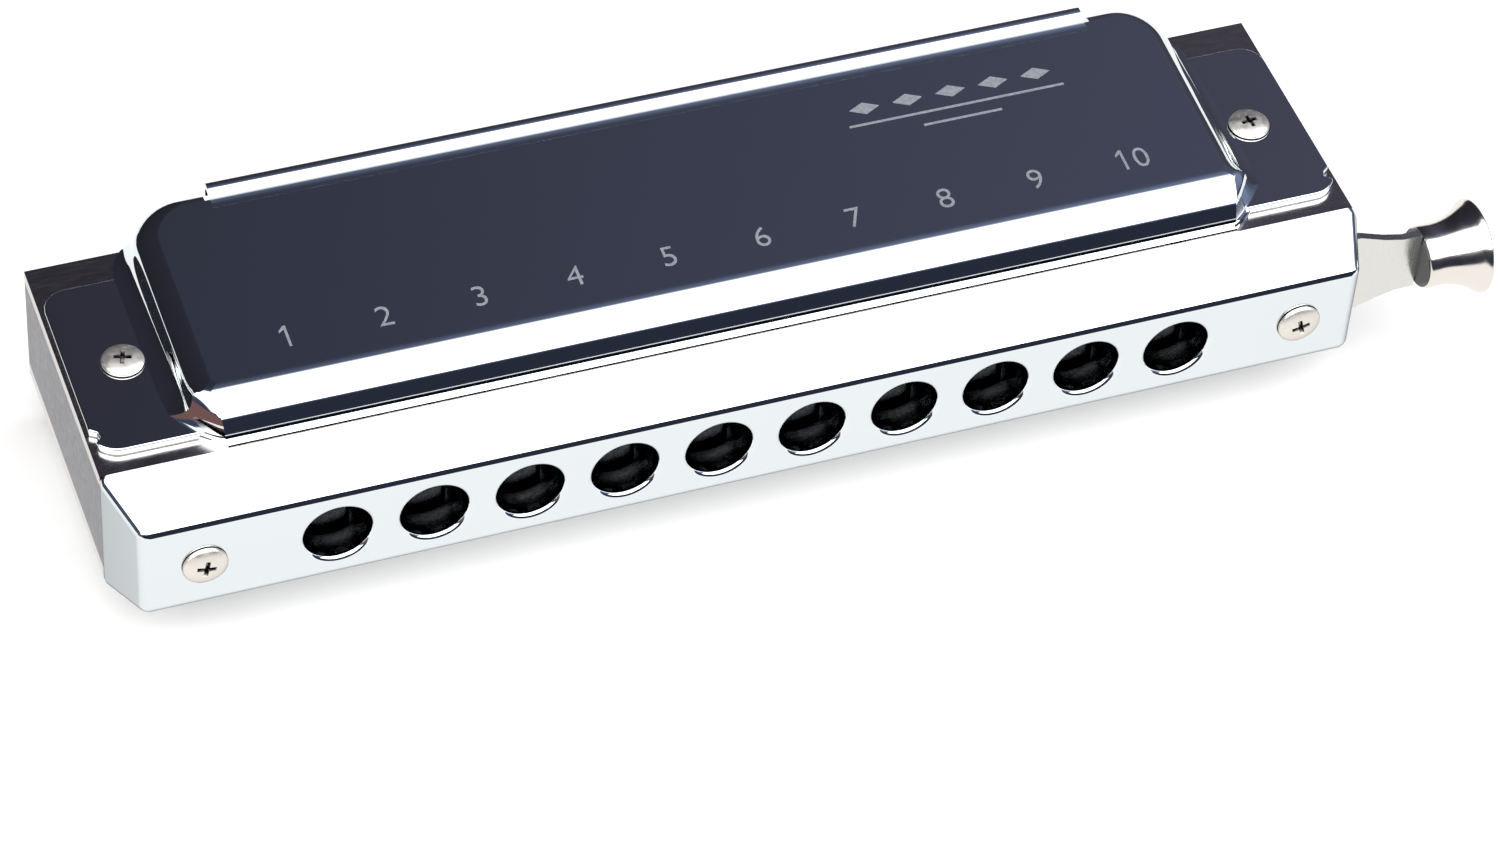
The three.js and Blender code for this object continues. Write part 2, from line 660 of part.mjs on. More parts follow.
const group = new THREE.Group();
group.position.set(0, -REST_Y, AXIS_HEIGHT);
group.add(makeComb());
group.add(makeHalf("upper"));
const lowerHalf = makeHalf("lower");
lowerHalf.scale.z = -1;
group.add(lowerHalf);
group.add(makeMouthpiece());
group.add(makeMouthScrew("mouthpiece_screw_left", -MOUTH_SCREW_X));
group.add(makeMouthScrew("mouthpiece_screw_right", MOUTH_SCREW_X));
group.add(makeCageFront());
group.add(makeWindowSheet("slide_cage_back", cageBackY, CAGE_THICKNESS, steel()));
group.add(makeWindowSheet("gasket", gasketY, GASKET_THICKNESS, felt()));
group.add(makeSlide());
group.add(makeButton());
group.add(makeSpring());
group.add(makeSpringPost());
group.add(makeBumper());

export default group;
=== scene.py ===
import json
import math

import bmesh
import bpy
from mathutils import Matrix, Vector


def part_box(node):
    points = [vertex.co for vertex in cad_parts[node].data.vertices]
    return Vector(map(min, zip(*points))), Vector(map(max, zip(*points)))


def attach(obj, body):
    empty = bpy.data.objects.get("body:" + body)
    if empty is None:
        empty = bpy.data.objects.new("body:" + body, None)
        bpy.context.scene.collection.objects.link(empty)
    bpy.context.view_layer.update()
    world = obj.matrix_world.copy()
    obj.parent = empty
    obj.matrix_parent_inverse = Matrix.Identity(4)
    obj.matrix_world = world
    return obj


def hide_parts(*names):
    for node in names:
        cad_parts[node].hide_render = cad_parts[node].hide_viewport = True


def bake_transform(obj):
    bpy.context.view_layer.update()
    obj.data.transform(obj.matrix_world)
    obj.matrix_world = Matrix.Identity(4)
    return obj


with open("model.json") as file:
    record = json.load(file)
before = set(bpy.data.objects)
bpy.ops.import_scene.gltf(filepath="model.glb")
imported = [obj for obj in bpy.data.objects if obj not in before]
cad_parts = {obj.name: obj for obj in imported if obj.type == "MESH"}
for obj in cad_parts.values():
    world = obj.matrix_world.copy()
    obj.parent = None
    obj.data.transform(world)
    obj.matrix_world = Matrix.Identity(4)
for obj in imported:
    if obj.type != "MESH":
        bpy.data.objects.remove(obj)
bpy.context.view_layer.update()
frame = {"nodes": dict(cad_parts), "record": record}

# A ten-hole chromatic harmonica with chromed covers and a sprung slide button.
# Shapes are worked out in millimetres on the instrument's own axes: X runs along the holes towards
# the button, Y from the mouth to the back, Z up from the hole axes. build() puts them in the frame.
MM = 0.001


def size_of(node):
    """A CAD node's box in the frame, in millimetres."""
    low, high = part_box(node)
    return [v / MM for v in low], [v / MM for v in high]


plate_low, plate_high = size_of("reed_plate_upper")
comb_low, comb_high = size_of("comb")
HOME = Vector(
    (
        (plate_low[0] + plate_high[0]) / 2,
        (plate_low[1] + plate_high[1]) / 2,
        (comb_low[2] + comb_high[2]) / 2,
    )
)


def local_box(node):
    """A CAD node's box on the instrument's own axes, in millimetres."""
    low, high = size_of(node)
    return Vector(low) - HOME, Vector(high) - HOME


BODY_HALF_DEPTH = (plate_high[1] - plate_low[1]) / 2
PLATE_TOP = plate_high[2] - HOME.z
COVER_HEIGHT = local_box("cover_upper")[1].z - PLATE_TOP
mouth_low, mouth_high = local_box("mouthpiece")
HOLES = 10
HOLE_PITCH = 9.2
HOLE_RADIUS = 3.2
hole_xs = [(i - (HOLES - 1) / 2) * HOLE_PITCH for i in range(HOLES)]


# ---- Mesh helpers ----


def link(name, mesh):
    piece = bpy.data.objects.new(name, mesh)
    bpy.context.scene.collection.objects.link(piece)
    return piece


def build(name, bm):
    """A bmesh on the instrument's axes, in millimetres, becomes an object in the frame."""
    bmesh.ops.recalc_face_normals(bm, faces=bm.faces)
    mesh = bpy.data.meshes.new(name)
    bm.to_mesh(mesh)
    bm.free()
    mesh.transform(Matrix.Scale(MM, 4) @ Matrix.Translation(HOME))
    return link(name, mesh)


def evaluated(piece):
    depsgraph = bpy.context.evaluated_depsgraph_get()
    depsgraph.update()
    return bpy.data.meshes.new_from_object(piece.evaluated_get(depsgraph))


def apply_modifiers(piece):
    mesh = evaluated(piece)
    piece.modifiers.clear()
    piece.data = mesh


def combine(base, tool, operation):
    modifier = base.modifiers.new("combine", "BOOLEAN")
    modifier.object = tool
    modifier.operation = operation
    modifier.solver = "EXACT"
    apply_modifiers(base)
    bpy.data.objects.remove(tool)
    return base


def bevel(piece, width, segments, angle):
    """Rounds the edges that turn by more than an angle in degrees."""
    modifier = piece.modifiers.new("edges", "BEVEL")
    modifier.width = width * MM
    modifier.segments = segments
    modifier.limit_method = "ANGLE"
    modifier.angle_limit = math.radians(angle)
    apply_modifiers(piece)


def smooth(piece, angle, weighted=True):
    """Smooth shading, sharp where faces turn by more than an angle in degrees."""
    mesh = piece.data
    mesh.polygons.foreach_set("use_smooth", [True] * len(mesh.polygons))
    mesh.set_sharp_from_angle(angle=math.radians(angle))
    if weighted:
        modifier = piece.modifiers.new("normals", "WEIGHTED_NORMAL")
        modifier.keep_sharp = True
        modifier.weight = 100


def prism(points, along, start, end):
    """A closed outline of two coordinates, pushed along the third axis from start to end."""
    others = [axis for axis in (0, 1, 2) if axis != along]
    bm = bmesh.new()
    rings = []
    for place in (start, end):
        ring = []
        for a, b in points:
            at = [0, 0, 0]
            at[along] = place
            at[others[0]] = a
            at[others[1]] = b
            ring.append(bm.verts.new(at))
        rings.append(ring)
    count = len(points)
    for i in range(count):
        j = (i + 1) % count
        bm.faces.new((rings[0][i], rings[0][j], rings[1][j], rings[1][i]))
    bm.faces.new(rings[0])
    bm.faces.new(rings[1])
    return bm


def block(low, high):
    outline = [(low[0], low[1]), (high[0], low[1]), (high[0], high[1]), (low[0], high[1])]
    return prism(outline, 2, low[2], high[2])


def turned(profile, sides, place, axis):
    """A profile of (radius, distance) pairs, turned about a line through place along axis."""
    bm = bmesh.new()
    rings = []
    angles = [2 * math.pi * i / sides for i in range(sides)]
    for radius, distance in profile:
        if radius == 0:
            rings.append([bm.verts.new((0, 0, distance))])
            continue
        circle = [(radius * math.cos(a), radius * math.sin(a)) for a in angles]
        rings.append([bm.verts.new((x, y, distance)) for x, y in circle])
    for lower, upper in zip(rings, rings[1:]):
        for i in range(sides):
            j = (i + 1) % sides
            below = [lower[i % len(lower)], lower[j % len(lower)]]
            above = [upper[j % len(upper)], upper[i % len(upper)]]
            bm.faces.new(list(dict.fromkeys(below + above)))
    turn = Vector((0, 0, 1)).rotation_difference(Vector(axis)).to_matrix().to_4x4()
    bmesh.ops.transform(bm, matrix=Matrix.Translation(Vector(place)) @ turn, verts=bm.verts)
    return bm


def merged(parts):
    """Several bmeshes in one."""
    whole = bmesh.new()
    for part in parts:
        mesh = bpy.data.meshes.new("part")
        part.to_mesh(mesh)
        part.free()
        whole.from_mesh(mesh)
        bpy.data.meshes.remove(mesh)
    return whole


def arc(centre, radius, first, last, steps):
    """Points on a circle between two angles in degrees."""
    angles = [math.radians(first + (last - first) * i / steps) for i in range(steps + 1)]
    return [(centre[0] + radius * math.cos(a), centre[1] + radius * math.sin(a)) for a in angles]


# ---- Materials ----


def material(name):
    made = bpy.data.materials.new(name)
    made.use_nodes = True
    tree = made.node_tree
    shader = tree.nodes["Principled BSDF"]
    coords = tree.nodes.new("ShaderNodeTexCoord").outputs["Object"]
    return made, tree, shader, coords


def noise(tree, coords, scale, detail=3, stretch=None):
    if stretch:
        mapping = tree.nodes.new("ShaderNodeMapping")
        mapping.inputs["Scale"].default_value = stretch
        tree.links.new(coords, mapping.inputs["Vector"])
        coords = mapping.outputs["Vector"]
    texture = tree.nodes.new("ShaderNodeTexNoise")
    texture.inputs["Scale"].default_value = scale
    texture.inputs["Detail"].default_value = detail
    tree.links.new(coords, texture.inputs["Vector"])
    return texture.outputs["Fac"]


def spread(tree, value, low, high, source=(0.3, 0.7), soft=False):
    """Maps source's two values to low and high, in a straight line or softly at both ends."""
    ranged = tree.nodes.new("ShaderNodeMapRange")
    if soft:
        ranged.interpolation_type = "SMOOTHSTEP"
    ranged.inputs["From Min"].default_value = source[0]
    ranged.inputs["From Max"].default_value = source[1]
    ranged.inputs["To Min"].default_value = low
    ranged.inputs["To Max"].default_value = high
    tree.links.new(value, ranged.inputs["Value"])
    return ranged.outputs["Result"]


def tint(tree, value, first, second, source=(0.3, 0.7)):
    """Blends two colours as the value goes from source's first to its second."""
    ramp = tree.nodes.new("ShaderNodeValToRGB")
    ramp.color_ramp.elements[0].position = source[0]
    ramp.color_ramp.elements[1].position = source[1]
    ramp.color_ramp.elements[0].color = (*first, 1)
    ramp.color_ramp.elements[1].color = (*second, 1)
    tree.links.new(value, ramp.inputs["Fac"])
    return ramp.outputs["Color"]


def bump(tree, shader, value, strength, distance):
    node = tree.nodes.new("ShaderNodeBump")
    node.inputs["Strength"].default_value = strength
    node.inputs["Distance"].default_value = distance * MM
    tree.links.new(value, node.inputs["Height"])
    tree.links.new(node.outputs["Normal"], shader.inputs["Normal"])


# Painted shade: the dark tint laid into holes, recesses and gaps, and the occlusion range over which
# it fades in.
PAINTED_SHADE_TINT = (0.014, 0.016, 0.022, 1)
PAINTED_SHADE_EDGES = (0.32, 0.62)


def painted_cavity_shade(tree, colour, reach):
    """Darkens a tint deep in holes, recesses and gaps: painted shade, laid in by an ambient-occlusion
    node where shade falls.
    """
    cavity = tree.nodes.new("ShaderNodeAmbientOcclusion")
    cavity.samples = 16
    cavity.inputs["Distance"].default_value = reach * MM
    depth = spread(tree, cavity.outputs["AO"], 0, 1, PAINTED_SHADE_EDGES)
    mix = tree.nodes.new("ShaderNodeMix")
    mix.data_type = "RGBA"
    mix.inputs["A"].default_value = PAINTED_SHADE_TINT
    tree.links.new(depth, mix.inputs["Factor"])
    tree.links.new(colour, mix.inputs["B"])
    return mix.outputs["Result"]


def metal(name, first, second, gloss, grain=900, stretch=None, depth=0.002, strength=0.15, cavity=0):
    """Plated or bare metal: two close tints in patches, fine marks in its gloss and a faint ripple;
    with a cavity reach, painted shade darkens it in hollows.
    """
    made, tree, shader, coords = material(name)
    shader.inputs["Metallic"].default_value = 1
    patches = noise(tree, coords, 60)
    colour = tint(tree, patches, first, second)
    # Painted shade: with a reach, ambient occlusion darkens the colour in holes, recesses and gaps.
    if cavity:
        colour = painted_cavity_shade(tree, colour, cavity)
        shader.inputs["Specular Tint"].default_value = (0.3, 0.3, 0.3, 1)
    tree.links.new(colour, shader.inputs["Base Color"])
    marks = noise(tree, coords, grain, 4, stretch)
    tree.links.new(spread(tree, marks, *gloss), shader.inputs["Roughness"])
    bump(tree, shader, marks, strength, depth)
    return made


def plastic(name, first, second, gloss, grain, depth):
    """A pitted plastic in two close tints."""
    made, tree, shader, coords = material(name)
    patches = noise(tree, coords, 90)
    tree.links.new(tint(tree, patches, first, second), shader.inputs["Base Color"])
    pits = noise(tree, coords, grain, 6)
    tree.links.new(spread(tree, pits, *gloss), shader.inputs["Roughness"])
    bump(tree, shader, pits, 0.5, depth)
    return made


def felt_material():
    made, tree, shader, coords = material("felt_fibres")
    fibres = noise(tree, coords, 2600, 8, (1, 3, 1))
    colour = tint(tree, fibres, (0.02, 0.022, 0.02), (0.06, 0.065, 0.06))
    tree.links.new(colour, shader.inputs["Base Color"])
    shader.inputs["Roughness"].default_value = 0.95
    shader.inputs["Sheen Weight"].default_value = 0.4
    bump(tree, shader, fibres, 0.8, 0.05)
    return made


CHROME = ((0.80, 0.86, 0.89), (0.82, 0.87, 0.90), (0.03, 0.06))
finishes = {
    "chrome": metal("chrome_plate", *CHROME, strength=0.02),
    # The mouthpiece's chrome, with painted shade in its holes, pocket and slots.
    "mouth_chrome_painted_shade": metal("chrome_casting_painted_shade", *CHROME, strength=0.02, cavity=7),
    "reed_plate_nickel": metal(
        "reed_plate_nickel",
        (0.56, 0.52, 0.50),
        (0.62, 0.58, 0.56),
        (0.14, 0.26),
        grain=700,
        stretch=(1, 14, 14),
        depth=0.003,
        strength=0.3,
    ),
    "comb_plastic": plastic(
        "comb_plastic", (0.15, 0.15, 0.17), (0.17, 0.17, 0.19), (0.34, 0.46), grain=1500, depth=0.01
    ),
    # Screw heads carry painted shade in their cross recesses.
    "screw_nickel": metal(
        "screw_nickel",
        (0.90, 0.86, 0.80),
        (0.95, 0.91, 0.85),
        (0.36, 0.52),
        grain=1500,
        strength=0.3,
        cavity=1.0,
    ),
    "button_nickel": metal(
        "button_nickel", (0.82, 0.78, 0.73), (0.86, 0.82, 0.77), (0.12, 0.19), grain=1200
    ),
    # Painted shade: a dark metal for the button's face towards the body, standing in for the shade
    # that face mirrors.
    "collar": metal(
        "button_collar_painted_shade", (0.06, 0.06, 0.075), (0.09, 0.09, 0.105), (0.12, 0.22), grain=1200
    ),
    # The slide carries painted shade where it sits inside the mouthpiece and shows through the holes.
    "slide_steel": metal(
        "slide_steel",
        (0.76, 0.76, 0.72),
        (0.80, 0.80, 0.76),
        (0.16, 0.30),
        grain=800,
        stretch=(12, 12, 1),
        depth=0.003,
        strength=0.3,
        cavity=6,
    ),
    "spring_wire": metal(
        "spring_wire", (0.50, 0.50, 0.52), (0.60, 0.60, 0.62), (0.2, 0.34), grain=2200
    ),
    "reed_bronze": metal(
        "reed_bronze",
        (0.72, 0.50, 0.24),
        (0.80, 0.60, 0.32),
        (0.2, 0.38),
        stretch=(16, 1, 1),
        depth=0.003,
        strength=0.4,
    ),
    "felt": felt_material(),
    "rubber": plastic(
        "rubber", (0.012, 0.012, 0.013), (0.02, 0.02, 0.022), (0.6, 0.8), grain=2400, depth=0.02
    ),
}


def etched_material():
    made, tree, shader, coords = material("etched_marks")
    frost = noise(tree, coords, 3000, 5)
    colour = tint(tree, frost, (0.20, 0.21, 0.24), (0.30, 0.31, 0.34))
    tree.links.new(colour, shader.inputs["Base Color"])
    shader.inputs["Metallic"].default_value = 0.4
    shader.inputs["Roughness"].default_value = 0.6
    bump(tree, shader, frost, 0.4, 0.01)
    return made


def finish(piece, slot, look=None, body="body", replaces=()):
    """The piece takes its slot's material, unless a look is given, and rides on its body."""
    piece.data.materials.clear()
    piece.data.materials.append(look or finishes[slot])
    if body:
        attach(piece, body)
    if replaces:
        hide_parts(*replaces)


def dress_cad_nodes():
    """Every CAD node gets its slot's material, for those that are shown as they are."""
    for row in frame["record"]["subparts"]:
        node = frame["nodes"][row["node"]]
        node.data.materials.clear()
        node.data.materials.append(finishes[row["material_slot"]])


# ---- Covers ----

# The pressed pan. Its heights run from the reed plate's face.
SHEET = 0.5
COVER_FOOT_X = 54.2
COVER_FOOT_Y = -12.95
COVER_FOOT_HEIGHT = 0.8
COVER_TOP_Y = -8.95
COVER_TOP_HEIGHT = 4.1
COVER_SLOPE = 0.056
SLOPE_BLEND = 1.4
COVER_BACK_TOP_Y = 12.7
COVER_BACK_Y = 14.4
FLAT_X = 49.9
OPENING_HALF = 44.5

# The front round, which leans back from its foot, and the strip between it and the mouthpiece.
# The strip's rings run up the ends and the back at heights of their own.
FRONT_RADIUS = 4.25
FRONT_LEAN = 10
FRONT_STEPS = 22
SEAM = 0.16
STRIP_EDGE = 0.12
STRIP_HEIGHTS = (0, 0.38, 0.5, 0.6, 0.7)

# The back wall and the round over it.
BACK_WALL_FOOT = 0.9
BACK_WALL_STEPS = 10
BACK_RADIUS = 1.7

# The ends from their foot to the flat top: each curve is a start, a bend, an end and its steps.
END_CURVES = (
    ((COVER_FOOT_X, COVER_FOOT_HEIGHT), (52.5, 0.95), (52.1, 2.0), 9),
    ((52.04, 2.15), (51.94, 2.45), (51.86, 2.6), 3),
    ((51.74, 2.74), (50.85, 3.8), (FLAT_X, COVER_TOP_HEIGHT), 8),
)

# The cut front corners and the round back ones.
FRONT_FACET = 4.4
FACET_LEAN = 0.6
FACET_SOFTNESS = 0.14
FACET_STEPS = 8
LEAST_CUT = 0.5
SIDE_STEPS = 14
SIDE_CROWDING = 1.6
SIDE_SETTLING = 3.5
BACK_CORNER = 5
BACK_CORNER_TAPER = 0.25
TURN_STEPS = 12

# The rolled lip along the back.
LIP_HALF = 44
LIP_OVERLAP = 1
LIP_DROP = 1.7
CREST_Y = 14.05
ROLL_SHIFT = 0.1
ROLL_RADIUS = 0.85

# The flange at each end, with its screw.
FLANGE_THICKNESS = 0.8
FLANGE_FRONT = -11.6
FLANGE_BACK = 9.6
FLANGE_END = 61.4
FLANGE_OVERLAP = 3.5
FLANGE_CORNER = 2.6
FLANGE_BACK_CORNER = 2.4
FLANGE_EDGE = 0.16
COVER_SCREW_X = 56.2
COVER_SCREW_Y = -1
SCREW_BORE = 1.2
SCREW_SEAT = 2.5


def top_height(y):
    return COVER_TOP_HEIGHT + COVER_SLOPE * (y - COVER_TOP_Y)


def front_round():
    """The front wall from its foot to the top, as points of (y, height), on one long round."""
    slope = math.atan(COVER_SLOPE)
    centre_y = COVER_TOP_Y + FRONT_RADIUS * math.sin(slope)
    centre_height = COVER_TOP_HEIGHT - FRONT_RADIUS * math.cos(slope)
    first = 180 - FRONT_LEAN
    last = 90 + math.degrees(slope)
    return arc((centre_y, centre_height), FRONT_RADIUS, first, last, FRONT_STEPS)


def curve_between(start, bend, end, steps):
    """A quadratic curve from start towards bend and on to end."""
    points = []
    for i in range(steps + 1):
        t = i / steps
        weights = ((1 - t) ** 2, 2 * t * (1 - t), t * t)
        at = [sum(w * p[k] for w, p in zip(weights, (start, bend, end))) for k in (0, 1)]
        points.append(tuple(at))
    return points


def back_wall():
    """The back from its foot over its round, as points of (y, height)."""
    top = COVER_TOP_HEIGHT - BACK_RADIUS
    step = (top - BACK_WALL_FOOT) / BACK_WALL_STEPS
    wall = [(COVER_BACK_Y, BACK_WALL_FOOT + step * i) for i in range(BACK_WALL_STEPS)]
    return wall + arc((COVER_BACK_Y - BACK_RADIUS, top), BACK_RADIUS, 0, 88, 12)


def front_strip():
    """The narrow strip from the mouthpiece to the wall's foot, as points of (y, height)."""
    front = SEAM - BODY_HALF_DEPTH
    return [
        (front, 0),
        (front, SHEET - STRIP_EDGE),
        (front + STRIP_EDGE, SHEET),
        (COVER_FOOT_Y - 0.1, SHEET),
        (COVER_FOOT_Y, SHEET + 0.05),
    ]


def cover_levels():
    """Rings from the foot to the top.

    Each is (front y, height), (end x, height) and (back y, height)."""
    levels = []
    for point, height in zip(front_strip(), STRIP_HEIGHTS):
        levels.append((point, (COVER_FOOT_X, height), (COVER_BACK_Y, height)))
    end = [point for curve in END_CURVES for point in curve_between(*curve)]
    return levels + list(zip(front_round(), end, back_wall()))


def softened(distance, reach=1.5):
    """Zero before the bend, the distance itself behind it, and a smooth turn between."""
    if abs(distance) >= reach:
        return max(0, distance)
    return (distance + reach) ** 2 / (4 * reach)


def eased(share):
    """A share from 0 to 1 that leaves and arrives gently."""
    share = min(1, max(0, share))
    return share * share * (3 - 2 * share)


def ring_points(level, top_share):
    """One ring of the pan: a front with cut corners, straight ends and a back with round corners.

    top_share says how far the ring takes part in the top's rise towards the back."""
    (front, front_z), (half, end_z), (back, back_z) = level
    inset = COVER_FOOT_X - half
    depth = front - COVER_FOOT_Y
    cut = FRONT_FACET - inset - depth + math.sqrt(2) * FACET_LEAN * depth
    cut = max(LEAST_CUT, cut)
    bend = cut / 2 * (1 - FACET_SOFTNESS)
    side_start = front + cut
    facet = curve_between(
        (half - cut, front), (half - bend, front + bend), (half, side_start), FACET_STEPS
    )
    points = [(x, y, front_z) for x, y in facet]
    radius = BACK_CORNER - BACK_CORNER_TAPER * inset
    side_end = back - radius
    for i in range(1, SIDE_STEPS):
        share = i / SIDE_STEPS
        y = side_start + (side_end - side_start) * share**SIDE_CROWDING
        settled = eased(SIDE_SETTLING * share)
        points.append((half, y, front_z + (end_z - front_z) * settled))
    turn = arc((half - radius, side_end), radius, 0, 90, TURN_STEPS)
    for i, (x, y) in enumerate(turn):
        share = eased(i / TURN_STEPS)
        points.append((x, y, end_z + (back_z - end_z) * share))
    points.append((OPENING_HALF, back, back_z))
    rise = COVER_SLOPE * top_share
    points = [(x, y, z + rise * softened(y - COVER_TOP_Y)) for x, y, z in points]
    return points + [(-x, y, z) for x, y, z in reversed(points)]


def in_opening(vertex):
    """Whether a vertex belongs to the part of the back that stays open."""
    return vertex.co.y > COVER_BACK_TOP_Y - 0.2 and abs(vertex.co.x) < OPENING_HALF + 0.01


def cover_shell():
    """The pressed pan as rings from its foot to its flat top, open below and along its back."""
    bm = bmesh.new()
    rings = []
    for level in cover_levels():
        end_height = level[1][1]
        share = min(1, max(0, end_height - COVER_FOOT_HEIGHT) / SLOPE_BLEND)
        rings.append([bm.verts.new(p) for p in ring_points(level, share)])
    for lower, upper in zip(rings, rings[1:]):
        for i in range(len(lower)):
            j = (i + 1) % len(lower)
            corners = (lower[i], lower[j], upper[j], upper[i])
            if not all(in_opening(v) for v in corners):
                bm.faces.new(corners)
    bm.faces.new(rings[-1])
    return build("shell", bm)


def lip_section():
    """The rolled lip from the side: it rises from the top, turns over the crest and drops behind."""
    start_y = COVER_BACK_TOP_Y - LIP_OVERLAP
    top = top_height(COVER_BACK_TOP_Y)
    foot = COVER_HEIGHT - LIP_DROP
    roll_y = CREST_Y + ROLL_SHIFT
    behind = roll_y + ROLL_RADIUS
    outer = [
        (start_y, top_height(start_y)),
        (COVER_BACK_TOP_Y, top),
        (CREST_Y - 0.55, COVER_HEIGHT - 0.1),
    ]
    outer += arc((roll_y, COVER_HEIGHT - ROLL_RADIUS), ROLL_RADIUS, 100, 0, 12)
    outer.append((behind, foot))
    inner = [
        (behind - SHEET, foot),
        (behind - SHEET, COVER_HEIGHT - 0.9),
        (roll_y, COVER_HEIGHT - SHEET),
        (CREST_Y - 0.6, COVER_HEIGHT - SHEET - 0.15),
        (COVER_BACK_TOP_Y + 0.15, top - SHEET),
        (start_y, top - SHEET - 0.05),
    ]
    return outer + inner


def flange_outline():
    """The right flange from above, with the small notch behind its round front corner."""
    inner = COVER_FOOT_X - FLANGE_OVERLAP
    centre = (FLANGE_END - FLANGE_CORNER, FLANGE_FRONT + FLANGE_CORNER)
    corner = arc(centre, FLANGE_CORNER, 270, 335, 6)
    notch = [
        (FLANGE_END - 0.9, FLANGE_FRONT + 2.1),
        (FLANGE_END - 0.7, FLANGE_FRONT + 2.7),
        (FLANGE_END, FLANGE_FRONT + 3.2),
    ]
    turn_y = FLANGE_BACK - FLANGE_BACK_CORNER
    turn = arc((FLANGE_END - FLANGE_BACK_CORNER, turn_y), FLANGE_BACK_CORNER, 20, 90, 5)
    front = [(inner, FLANGE_FRONT)] + corner + notch
    return front + [(FLANGE_END, turn_y)] + turn + [(inner, FLANGE_BACK)]


def flange(side):
    """One end's flange, with a countersunk bore for its screw."""
    outline = [(side * x, y) for x, y in flange_outline()]
    plate = build("flange", prism(outline, 2, 0, FLANGE_THICKNESS))
    bevel(plate, FLANGE_EDGE, 3, 40)
    profile = [(0, -1), (SCREW_BORE, -1), (SCREW_BORE, 0.45)]
    profile += [(SCREW_SEAT, 0.9), (SCREW_SEAT, 3), (0, 3)]
    bore = turned(profile, 32, (side * COVER_SCREW_X, COVER_SCREW_Y, 0), (0, 0, 1))
    return combine(plate, build("bore", bore), "DIFFERENCE")


def joined(name, pieces):
    """Several objects' meshes in one object."""
    bm = bmesh.new()
    for piece in pieces:
        bm.from_mesh(evaluated(piece))
        bpy.data.objects.remove(piece)
    mesh = bpy.data.meshes.new(name)
    bm.to_mesh(mesh)
    bm.free()
    return link(name, mesh)


def make_cover(level, up):
    """One cover: its pan, lip and two flanges. The lower one is the upper one's mirror image."""
    shell = cover_shell()
    thick = shell.modifiers.new("sheet", "SOLIDIFY")
    thick.thickness = SHEET * MM
    thick.offset = -1
    thick.use_even_offset = False
    lip = build("lip", prism(lip_section(), 0, -LIP_HALF, LIP_HALF))
    sides = [flange(side) for side in (-1, 1)]
    cover = joined(f"cover_{level}_pressing", [shell, lip] + sides)
    cover.data.transform(Matrix.Translation((0, 0, PLATE_TOP * MM)))
    if up < 0:
        axis = Matrix.Translation((0, 0, HOME.z * MM))
        cover.data.transform(axis @ Matrix.Scale(-1, 4, (0, 0, 1)) @ axis.inverted())
        cover.data.flip_normals()
    smooth(cover, 32)
    finish(cover, "chrome", replaces=[f"cover_{level}"])


# ---- Marks on the upper cover ----

MARK_LIFT = 0.02
MARK_HALF = 0.015
DIGIT_HEIGHT = 2.5
DIGIT_LINE = -6.6
DIGIT_SHIFT = -0.4
CAP_SHARE = 0.72
THINNING = -0.012

RULE_Y = 5.6
RULE_LEFT = 17
RULE_RIGHT = 39
RULE_HALF = 0.12
SHORT_RULE_INSET = 7
SHORT_RULE = (-1.7, -1.46)
LOZENGE_PITCH = 4.4
LOZENGE_LIFT = 2
LOZENGE_WIDE = 1.5
LOZENGE_TALL = 0.75


def on_cover(bm):
    """Lays a flat drawing in X and Y on the upper cover's rising top."""
    for v in bm.verts:
        v.co.z += PLATE_TOP + top_height(v.co.y) + MARK_LIFT
    return bm


def glyph(text, x):
    """A digit centred on x, a little lighter than the font draws it."""
    curve = bpy.data.curves.new("mark", "FONT")
    curve.body = text
    curve.align_x = "CENTER"
    curve.size = DIGIT_HEIGHT / CAP_SHARE
    curve.offset = THINNING * DIGIT_HEIGHT
    curve.extrude = MARK_HALF
    curve.resolution_u = 6
    holder = link("mark", curve)
    mesh = evaluated(holder)
    bpy.data.objects.remove(holder)
    bm = bmesh.new()
    bm.from_mesh(mesh)
    bmesh.ops.translate(bm, vec=(x, DIGIT_LINE, 0), verts=bm.verts)
    return bm


def one(x):
    """A figure one: an upright stroke with a short flag."""
    foot = DIGIT_LINE
    right = x + 0.05 * DIGIT_HEIGHT
    left = x - 0.05 * DIGIT_HEIGHT
    tip = left - 0.2 * DIGIT_HEIGHT
    outline = [
        (right, foot),
        (right, foot + DIGIT_HEIGHT),
        (left, foot + DIGIT_HEIGHT),
        (tip, foot + 0.8 * DIGIT_HEIGHT),
        (tip, foot + 0.7 * DIGIT_HEIGHT),
        (left, foot + 0.84 * DIGIT_HEIGHT),
        (left, foot),
    ]
    return prism(outline, 2, -MARK_HALF, MARK_HALF)


def make_numbers():
    """Hole numbers along the front, as thin raised marks."""
    numbers = [glyph(str(i + 1), hole_xs[i] + DIGIT_SHIFT) for i in range(1, HOLES - 1)]
    numbers.append(one(hole_xs[0] + DIGIT_SHIFT))
    ten = hole_xs[-1] + 0.35
    apart = 0.35 * DIGIT_HEIGHT
    numbers.append(one(ten - apart))
    numbers.append(glyph("0", ten + apart))
    marks = build("hole_numbers", on_cover(merged(numbers)))
    finish(marks, "chrome", etched_material())


def rule(left, right, low, high):
    return block((left, low, -MARK_HALF), (right, high, MARK_HALF))


